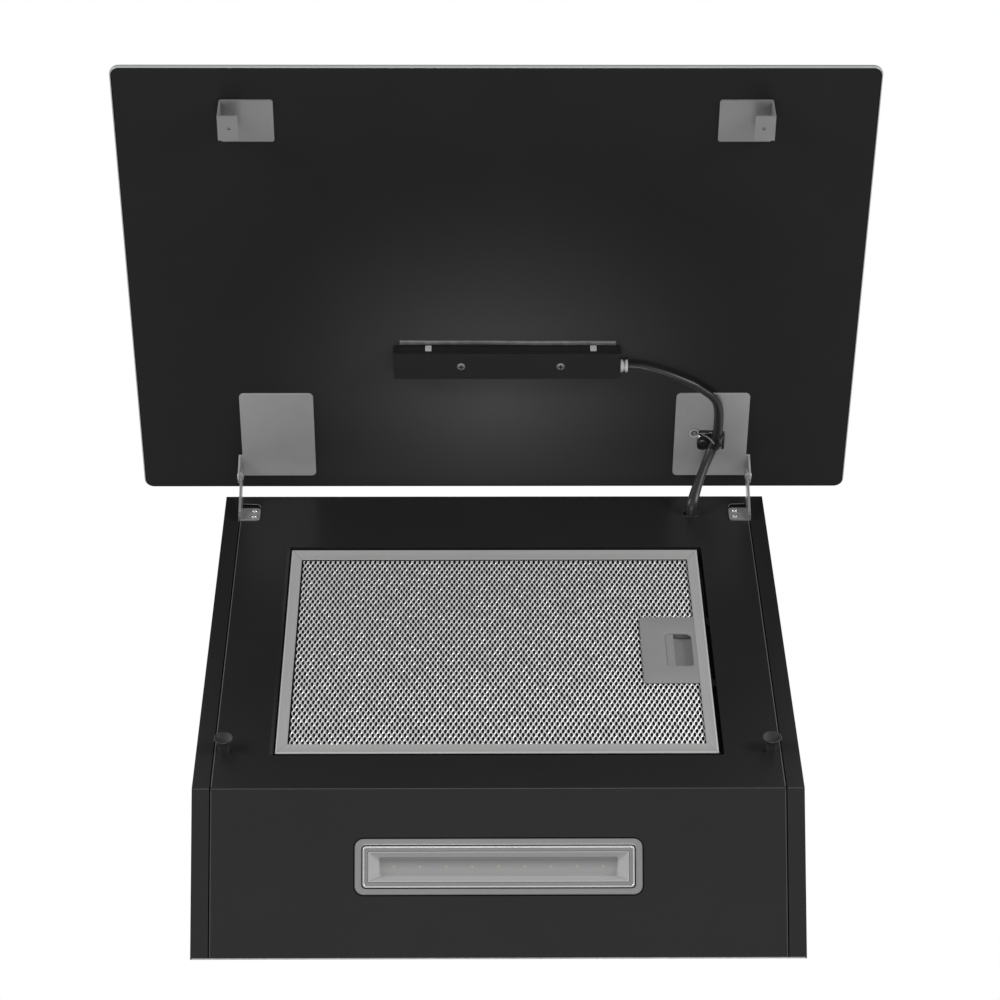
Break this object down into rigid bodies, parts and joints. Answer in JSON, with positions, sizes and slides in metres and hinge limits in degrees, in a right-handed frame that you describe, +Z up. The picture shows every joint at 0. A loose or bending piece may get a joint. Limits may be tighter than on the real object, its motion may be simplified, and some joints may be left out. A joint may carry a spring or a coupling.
{
  "type": "inclined wall range hood",
  "caption": "Inclined wall-mounted range hood with a hinged black glass front shown open, grease filter, lamp bar, catch cups, blower and duct outlet.",
  "frame": {"origin": "centre of the four wall fixing holes, on the outer face of the back panel", "axes": "+X across the width, -Y out of the wall towards the cook, +Z up; the wall is the plane Y = 0"},
  "size_m": [0.6, 0.6844, 0.3573],
  "materials": {
    "black_sheet": "fine matt black powder coat",
    "galvanised": "galvanised sheet",
    "zinc_screws": "zinc plated",
    "bright_screws": "bright zinc",
    "filter_steel": "satin stainless steel",
    "filter_mesh": "expanded aluminium mesh",
    "handle_grey": "satin grey",
    "latch_grey": "satin grey",
    "spring_steel": "spring steel",
    "lamp_silver": "silver lacquer",
    "lamp_lens": "milky diffuser",
    "board_white": "white solder mask",
    "diode": "clear resin over phosphor",
    "cup_rubber": "matt black",
    "magnet": "nickel-free ferrite grey",
    "arm_steel": "satin",
    "plate_steel": "satin",
    "washer_black": "black acetal",
    "motor_alloy": "cast",
    "impeller_alloy": "pressed sheet",
    "black_plastic": "matt black",
    "white_plastic": "white",
    "board_green": "green solder mask",
    "black_glass": "black-backed toughened glass",
    "strip_grey": "light grey tape",
    "gland_grey": "light grey",
    "lead_black": "black sheath"
  },
  "bodies": {
    "hood": {"side_panel_left": "black_sheet", "side_panel_right": "black_sheet", "front_sheet": "black_sheet", "filter_seat": "black_sheet", "back_panel": "galvanised", "top_panel": "galvanised", "scroll_wrap": "galvanised", "scroll_plate_left": "galvanised", "scroll_plate_right": "galvanised", "motor_bracket": "galvanised", "lamp_housing": "galvanised", "panel_screws": "zinc_screws", "blower_screws": "zinc_screws", "catch_studs": "zinc_screws", "capacitor_clip": "zinc_screws", "flap_rods": "zinc_screws", "arm_screws": "bright_screws", "filter_frame": "filter_steel", "filter_mesh": "filter_mesh", "filter_core": "filter_mesh", "filter_handle": "handle_grey", "latch_spring": "spring_steel", "lamp_bezel": "lamp_silver", "lamp_lens": "lamp_lens", "led_board": "board_white", "light_diodes": "diode", "catch_cup_left": "cup_rubber", "catch_cup_right": "cup_rubber", "lead_grommet": "cup_rubber", "motor_bushes": "cup_rubber", "catch_magnets": "magnet", "hinge_arm_left": "arm_steel", "hinge_arm_right": "arm_steel", "motor": "motor_alloy", "outlet_spigot": "black_plastic", "control_case": "black_plastic", "control_case_lid": "black_plastic", "mains_gland": "black_plastic", "capacitor": "white_plastic", "control_board": "board_green"},
    "glass_panel": {"glass": "black_glass", "hinge_plate_left": "plate_steel", "hinge_plate_right": "plate_steel", "hinge_pins": "zinc_screws", "hinge_washers": "washer_black", "catch_bracket_left": "plate_steel", "catch_bracket_right": "plate_steel", "touch_board": "board_green", "control_box_base": "black_plastic", "control_box_cover": "black_plastic", "control_box_screws": "zinc_screws", "control_strip": "strip_grey", "control_gland": "gland_grey", "lead_clip": "black_plastic", "control_lead": "lead_black"},
    "blower_rotor": {"impeller": "impeller_alloy", "rotor_shaft": "zinc_screws"},
    "front_flap": {"flap_front": "black_plastic"},
    "rear_flap": {"flap_rear": "black_plastic"},
    "filter_latch": {"latch_slider": "latch_grey"}
  },
  "joints": [
    {"name": "glass_hinge", "type": "hinge", "parent": "hood", "child": "glass_panel", "pos_m": [0, -0.397, 0.09888], "axis": [1, 0, 0], "range_deg": [-7, 83], "deforming": ["control_lead"]},
    {"name": "rotor_spin", "type": "hinge", "parent": "hood", "child": "blower_rotor", "pos_m": [0, -0.11193, -0.02221], "axis": [1, 0, 0], "continuous": true},
    {"name": "front_flap_hinge", "type": "hinge", "parent": "hood", "child": "front_flap", "pos_m": [0, -0.173, 0.11965], "axis": [-1, 0, 0], "range_deg": [0, 80]},
    {"name": "rear_flap_hinge", "type": "hinge", "parent": "hood", "child": "rear_flap", "pos_m": [0, -0.163, 0.11965], "axis": [1, 0, 0], "range_deg": [0, 80]},
    {"name": "latch_slide", "type": "slide", "parent": "hood", "child": "filter_latch", "axis": [-1, 0, 0], "range_m": [0, 0.006], "stiffness_N_per_m": 300, "springref_m": -0.006, "deforming": ["latch_spring"]}
  ]
}
